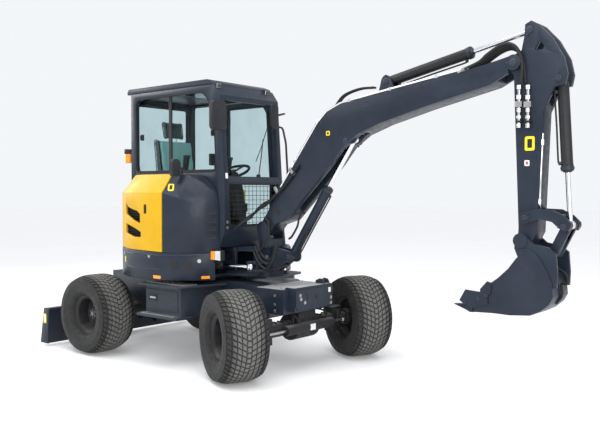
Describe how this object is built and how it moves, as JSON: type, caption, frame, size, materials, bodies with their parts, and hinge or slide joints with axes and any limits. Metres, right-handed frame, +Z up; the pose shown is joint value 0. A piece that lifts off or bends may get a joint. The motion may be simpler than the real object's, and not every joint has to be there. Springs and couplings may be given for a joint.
{
  "type": "compact wheeled excavator",
  "caption": "Compact wheeled excavator parked with its arm folded down: offset swing boom, arm and bucket, rear dozer blade, glazed cab, opening rear hoods and steered front wheels.",
  "frame": {"origin": "middle of the footprint box on the ground", "axes": "+X towards the digging end, +Y to the machine's left, +Z up"},
  "size_m": [5.302, 2.1732, 2.81],
  "materials": {
    "graphite_paint": "semi-gloss dark blue-grey paint, dusty",
    "black_paint": "satin black paint on castings and rims",
    "yellow_paint": "semi-gloss golden yellow paint",
    "tyre_rubber": "matt rubber, grey where worn",
    "chrome_rod": "polished chrome",
    "tinted_glass": "teal tinted safety glass",
    "black_plastic": "grained black plastic",
    "amber_lens": "clear amber lens under a black cap",
    "engine_casting": "rough casting",
    "seat_cloth": "woven dark cloth"
  },
  "bodies": {
    "chassis": {"chassis_frame": "graphite_paint", "rear_axle": "black_paint", "front_axle": "black_paint", "drive_shaft": "black_paint", "slew_ring": "black_paint", "step_box_left": "graphite_paint", "step_box_right": "graphite_paint"},
    "wheel_rl": {"tyre_rl": "tyre_rubber", "rim_rl": "black_paint"},
    "wheel_rr": {"tyre_rr": "tyre_rubber", "rim_rr": "black_paint"},
    "wheel_fl": {"tyre_fl": "tyre_rubber", "rim_fl": "black_paint"},
    "wheel_fr": {"tyre_fr": "tyre_rubber", "rim_fr": "black_paint"},
    "steer_l": {"knuckle_left": "black_paint"},
    "steer_r": {"knuckle_right": "black_paint"},
    "steering_rod": {"steering_rod": "chrome_rod"},
    "house": {"counterweight": "graphite_paint", "turntable_frame": "graphite_paint", "engine": "engine_casting", "side_cover": "graphite_paint", "cab_frame": "graphite_paint", "cab_roof": "graphite_paint", "glass_right": "tinted_glass", "glass_left_rear": "tinted_glass", "glass_rear": "tinted_glass", "windscreen": "tinted_glass", "glass_roof": "tinted_glass", "seat": "seat_cloth", "consoles": "black_plastic", "steering_column": "black_plastic", "mirror_right": "black_plastic", "mirror_left": "black_plastic", "mirror_side": "black_plastic", "beacon": "amber_lens", "grab_rail": "black_plastic"},
    "swing": {"swing_post": "graphite_paint"},
    "swing_barrel": {"swing_barrel": "graphite_paint"},
    "swing_rod": {"swing_rod": "chrome_rod"},
    "boom": {"boom": "graphite_paint", "boom_pipes": "chrome_rod"},
    "boom_barrel": {"boom_barrel": "graphite_paint"},
    "boom_rod": {"boom_rod": "chrome_rod"},
    "arm": {"arm": "graphite_paint"},
    "arm_barrel": {"arm_barrel": "graphite_paint"},
    "arm_rod": {"arm_rod": "chrome_rod"},
    "bucket": {"bucket": "graphite_paint"},
    "lever": {"lever": "graphite_paint"},
    "link": {"link": "graphite_paint"},
    "bucket_barrel": {"bucket_barrel": "graphite_paint"},
    "bucket_rod": {"bucket_rod": "chrome_rod"},
    "blade": {"blade": "graphite_paint"},
    "blade_barrel": {"blade_barrel": "graphite_paint"},
    "blade_rod": {"blade_rod": "chrome_rod"},
    "door": {"door": "graphite_paint", "glass_door": "tinted_glass"},
    "hood_left": {"hood_left": "yellow_paint"},
    "hood_right": {"hood_right": "yellow_paint"}
  },
  "joints": [
    {"name": "wheel_rl_spin", "type": "hinge", "parent": "chassis", "child": "wheel_rl", "pos_m": [-1.9065, 0.785, 0.3935], "axis": [0, 1, 0], "continuous": true},
    {"name": "wheel_rr_spin", "type": "hinge", "parent": "chassis", "child": "wheel_rr", "pos_m": [-1.9065, -0.785, 0.3935], "axis": [0, 1, 0], "continuous": true},
    {"name": "wheel_fl_spin", "type": "hinge", "parent": "steer_l", "child": "wheel_fl", "pos_m": [0.18859, 0.76392, 0.3935], "axis": [0.4226, 0.9063, 0], "continuous": true},
    {"name": "wheel_fr_spin", "type": "hinge", "parent": "steer_r", "child": "wheel_fr", "pos_m": [-0.00159, -0.76392, 0.3935], "axis": [0.4226, 0.9063, 0], "continuous": true},
    {"name": "steer_l_turn", "type": "hinge", "parent": "chassis", "child": "steer_l", "pos_m": [0.0935, 0.56, 0.3935], "axis": [0, 0, 1], "range_deg": [-5, 55]},
    {"name": "steer_r_turn", "type": "hinge", "parent": "chassis", "child": "steer_r", "pos_m": [0.0935, -0.56, 0.3935], "axis": [0, 0, 1], "range_deg": [-6, 56]},
    {"name": "steering_rod_slide", "type": "slide", "parent": "chassis", "child": "steering_rod", "axis": [0, 1, 0], "range_m": [-0.0132, 0.1147]},
    {"name": "slew", "type": "hinge", "parent": "chassis", "child": "house", "pos_m": [-1.1065, 0, 0.815], "axis": [0, 0, 1], "continuous": true},
    {"name": "boom_swing", "type": "hinge", "parent": "house", "child": "swing", "pos_m": [-0.3065, -0.09, 0.93], "axis": [0, 0, 1], "range_deg": [-50, 70]},
    {"name": "swing_cylinder_pivot", "type": "hinge", "parent": "house", "child": "swing_barrel", "pos_m": [-0.9865, -0.52, 0.93], "axis": [0, 0, 1], "range_deg": [-3.55, 4.57]},
    {"name": "swing_cylinder_stroke", "type": "slide", "parent": "swing_barrel", "child": "swing_rod", "axis": [0.963, 0.2696, 0], "range_m": [-0.1804, 0.2514]},
    {"name": "boom_lift", "type": "hinge", "parent": "swing", "child": "boom", "pos_m": [-0.1795, -0.09, 1.275], "axis": [0, -1, 0], "range_deg": [-52, 36]},
    {"name": "boom_cylinder_pivot", "type": "hinge", "parent": "swing", "child": "boom_barrel", "pos_m": [0.0835, -0.09, 1.027], "axis": [0, -1, 0], "range_deg": [-54.18, 37.82]},
    {"name": "boom_cylinder_stroke", "type": "slide", "parent": "boom_barrel", "child": "boom_rod", "axis": [0.5571, 0, 0.8304], "range_m": [-0.313, 0.2176]},
    {"name": "arm_crowd", "type": "hinge", "parent": "boom", "child": "arm", "pos_m": [2.2245, -0.09, 2.528], "axis": [0, 1, 0], "range_deg": [-68, 42]},
    {"name": "arm_cylinder_pivot", "type": "hinge", "parent": "boom", "child": "arm_barrel", "pos_m": [1.1255, -0.09, 2.507], "axis": [0, 1, 0], "range_deg": [-5.94, 4.05]},
    {"name": "arm_cylinder_stroke", "type": "slide", "parent": "arm_barrel", "child": "arm_rod", "axis": [0.979, 0, 0.2037], "range_m": [-0.2702, 0.168]},
    {"name": "bucket_curl", "type": "hinge", "parent": "arm", "child": "bucket", "pos_m": [2.2985, -0.09, 1.27], "axis": [0, 1, 0], "range_deg": [-66, 35]},
    {"name": "lever_rock", "type": "hinge", "parent": "arm", "child": "lever", "pos_m": [2.3155, -0.09, 1.43], "axis": [0, 1, 0], "range_deg": [-54.93, 29.6]},
    {"name": "link_swing", "type": "hinge", "parent": "lever", "child": "link", "pos_m": [2.6045, -0.09, 1.384], "axis": [0, 1, 0], "range_deg": [-22.41, 41.38]},
    {"name": "bucket_cylinder_pivot", "type": "hinge", "parent": "arm", "child": "bucket_barrel", "pos_m": [2.5405, -0.09, 2.392], "axis": [0, 1, 0], "range_deg": [-1.83, 2.56]},
    {"name": "bucket_cylinder_stroke", "type": "slide", "parent": "bucket_barrel", "child": "bucket_rod", "axis": [0.0634, 0, -0.998], "range_m": [-0.266, 0.1424]},
    {"name": "blade_lift", "type": "hinge", "parent": "chassis", "child": "blade", "pos_m": [-2.1765, 0, 0.42], "axis": [0, 1, 0], "range_deg": [-18, 22]},
    {"name": "blade_cylinder_pivot", "type": "hinge", "parent": "chassis", "child": "blade_barrel", "pos_m": [-2.3265, 0, 0.68], "axis": [0, 1, 0], "range_deg": [-9.74, 11.69]},
    {"name": "blade_cylinder_stroke", "type": "slide", "parent": "blade_barrel", "child": "blade_rod", "axis": [-0.3482, 0, -0.9374], "range_m": [-0.0933, 0.0769]},
    {"name": "door_swing", "type": "hinge", "parent": "house", "child": "door", "pos_m": [-1.2065, 0.352, 1.8], "axis": [0, 0, 1], "range_deg": [0, 100]},
    {"name": "hood_left_swing", "type": "hinge", "parent": "house", "child": "hood_left", "pos_m": [-1.9515, 0.035, 1.3], "axis": [0, 0, 1], "range_deg": [0, 75]},
    {"name": "hood_right_swing", "type": "hinge", "parent": "house", "child": "hood_right", "pos_m": [-1.9515, -0.035, 1.3], "axis": [0, 0, -1], "range_deg": [0, 75]}
  ],
  "couplings": [
    {"joint": "steer_r_turn", "follows": "steer_l_turn", "ratio": 1},
    {"joint": "steering_rod_slide", "follows": "steer_l_turn", "m_per_rad": 0.11635},
    {"joint": "swing_cylinder_pivot", "follows": "boom_swing", "ratio": 0.05099},
    {"joint": "swing_cylinder_stroke", "follows": "boom_swing", "m_per_rad": 0.20328},
    {"joint": "boom_cylinder_pivot", "follows": "boom_lift", "ratio": 1.0227},
    {"joint": "boom_cylinder_stroke", "follows": "boom_lift", "m_per_rad": 0.34154},
    {"joint": "arm_cylinder_pivot", "follows": "arm_crowd", "ratio": 0.0727},
    {"joint": "arm_cylinder_stroke", "follows": "arm_crowd", "m_per_rad": 0.22514},
    {"joint": "lever_rock", "follows": "bucket_curl", "ratio": 0.8171},
    {"joint": "link_swing", "follows": "bucket_curl", "ratio": -0.61182},
    {"joint": "bucket_cylinder_pivot", "follows": "bucket_curl", "ratio": -0.02359},
    {"joint": "bucket_cylinder_stroke", "follows": "bucket_curl", "m_per_rad": 0.22828},
    {"joint": "blade_cylinder_pivot", "follows": "blade_lift", "ratio": 0.48569},
    {"joint": "blade_cylinder_stroke", "follows": "blade_lift", "m_per_rad": -0.23515}
  ]
}
